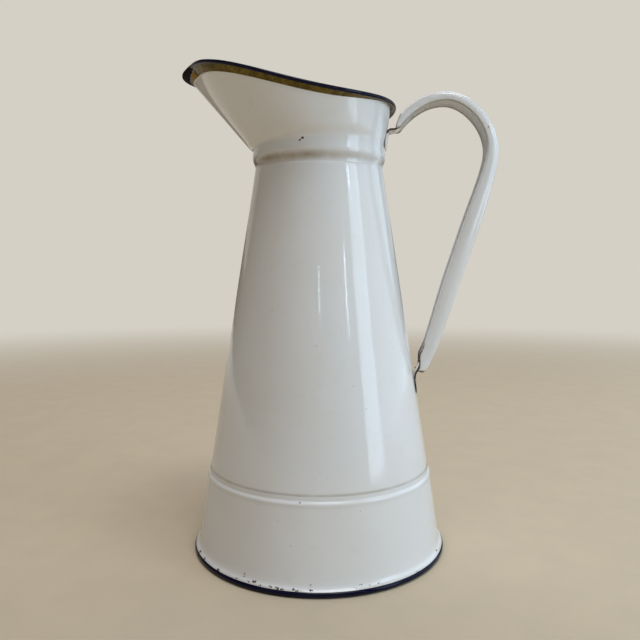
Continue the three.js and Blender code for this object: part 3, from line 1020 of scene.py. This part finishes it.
def photographer():
    """A phone-like lens a little above the middle of the jug, looking slightly down. Distances are in
    millimetres and angles in radians."""
    turn, tilt = 0.10, 0.069
    distance, height, aside = 496.9, 213.2, 0.76
    right = Vector((math.cos(turn), math.sin(turn), 0))
    forward = Vector((-math.sin(turn), math.cos(turn), 0))
    place = Vector((AXIS_X, 0, height)) + right * aside - forward * distance
    data = bpy.data.cameras.new("camera")
    data.sensor_width = 36.0
    data.lens = 34.875
    camera = bpy.data.objects.new("camera", data)
    camera.location = place * MM
    aim = forward * math.cos(tilt) - Vector((0, 0, math.sin(tilt)))
    camera.rotation_mode = "QUATERNION"
    camera.rotation_quaternion = aim.to_track_quat("-Z", "Y")
    bpy.context.scene.collection.objects.link(camera)
    bpy.context.scene.camera = camera


def softbox(name, azimuth, elevation, distance, width, height, watts, colour):
    """An area light, in metres and degrees. Azimuth 0 shines from the front and 90 from the right."""
    data = bpy.data.lights.new(name, "AREA")
    data.shape = "RECTANGLE"
    data.size, data.size_y = width, height
    data.energy = watts
    data.color = colour
    lamp = bpy.data.objects.new(name, data)
    a, e = math.radians(azimuth), math.radians(elevation)
    out = Vector((math.sin(a) * math.cos(e), -math.cos(a) * math.cos(e), math.sin(e)))
    target = Vector((AXIS_X * MM, 0, 0.2))
    lamp.location = target + out * distance
    lamp.rotation_mode = "QUATERNION"
    lamp.rotation_quaternion = (-out).to_track_quat("-Z", "Y")
    lamp.visible_camera = False
    bpy.context.scene.collection.objects.link(lamp)


def pale_floor():
    """A wide floor that fades into the wall's colour behind the jug."""
    reach, drop = 6.0, -0.0002
    mesh = bpy.data.meshes.new("floor")
    corners = [(x * reach, y * reach, drop) for x, y in ((-1, -1), (1, -1), (1, 1), (-1, 1))]
    mesh.from_pydata(corners, [], [(0, 1, 2, 3)])
    floor = bpy.data.objects.new("floor", mesh)
    bpy.context.scene.collection.objects.link(floor)
    surface = Surface("floor_paint")
    away = surface.vector("LENGTH", {0: surface.place}).outputs["Value"]
    far = surface.between(away, 0.7, 2.4)
    speckle = surface.blotches(40, 0.3, 0.7, detail=4, roughness=0.6)
    near_colour = surface.mix(speckle, FLOOR, DARKER_FLOOR)
    surface.to("Base Color", surface.mix(far, near_colour, BLACK))
    surface.to("Roughness", 0.9)
    surface.to("Specular IOR Level", 0.0)
    surface.to("Emission Color", WALL_COLOUR)
    surface.to("Emission Strength", far)
    mesh.materials.append(surface.material)


def surround():
    """The camera sees a pale wall, and the jug is lit by a dimmer room."""
    world = bpy.data.worlds.new("surround")
    world.use_nodes = True
    tree = world.node_tree
    room = tree.nodes["Background"]
    room.inputs["Color"].default_value = (*ROOM_LIGHT, 1)
    wall = tree.nodes.new("ShaderNodeBackground")
    wall.inputs["Color"].default_value = (*WALL_COLOUR, 1)
    seen = tree.nodes.new("ShaderNodeLightPath")
    choose = tree.nodes.new("ShaderNodeMixShader")
    tree.links.new(seen.outputs["Is Camera Ray"], choose.inputs[0])
    tree.links.new(room.outputs[0], choose.inputs[1])
    tree.links.new(wall.outputs[0], choose.inputs[2])
    tree.links.new(choose.outputs[0], tree.nodes["World Output"].inputs["Surface"])
    bpy.context.scene.world = world
    bpy.context.scene.view_settings.view_transform = "Standard"


def overhead():
    """Soft light from above, which gives the jug its shadow."""
    sky = bpy.data.lights.new("overhead", "SUN")
    sky.energy = 1.35
    sky.angle = math.radians(30)
    sky.color = SKY
    lamp = bpy.data.objects.new("overhead", sky)
    lamp.rotation_euler = (math.radians(14), math.radians(8), 0)
    bpy.context.scene.collection.objects.link(lamp)


def studio():
    """A pale floor, a pale surround, and soft light mostly from the right."""
    pale_floor()
    surround()
    overhead()
    softbox("front_panel", -5, 46, 1.6, 2.6, 0.35, 3.0, PANEL)
    softbox("window", 65, 14, 1.25, 0.42, 1.0, 5.3, DAYLIGHT)
    softbox("side_wall", 104, 14, 1.3, 1.5, 0.9, 5.2, DAYLIGHT)
    softbox("curtain_gap", 43, 15.5, 1.3, 0.022, 0.24, 0.30, DAYLIGHT)
    softbox("upper_pane", 57, 28, 1.3, 0.03, 0.10, 0.18, DAYLIGHT)
    softbox("far_window", 6, 16.5, 1.6, 0.022, 0.14, 0.17, DAYLIGHT)
    softbox("back_wall", 192, 24, 5.0, 8.5, 3.0, 30, WARM_WALL)
    softbox("ceiling", 180, 62, 1.5, 1.6, 0.5, 7.0, COOL_CEILING)


photographer()
body_cone()
body_band()
foot_curl()
bottom_dish()
pouring_collar()
rolled_lip()
handle_channel()
upper_lug()
lower_lug()
studio()
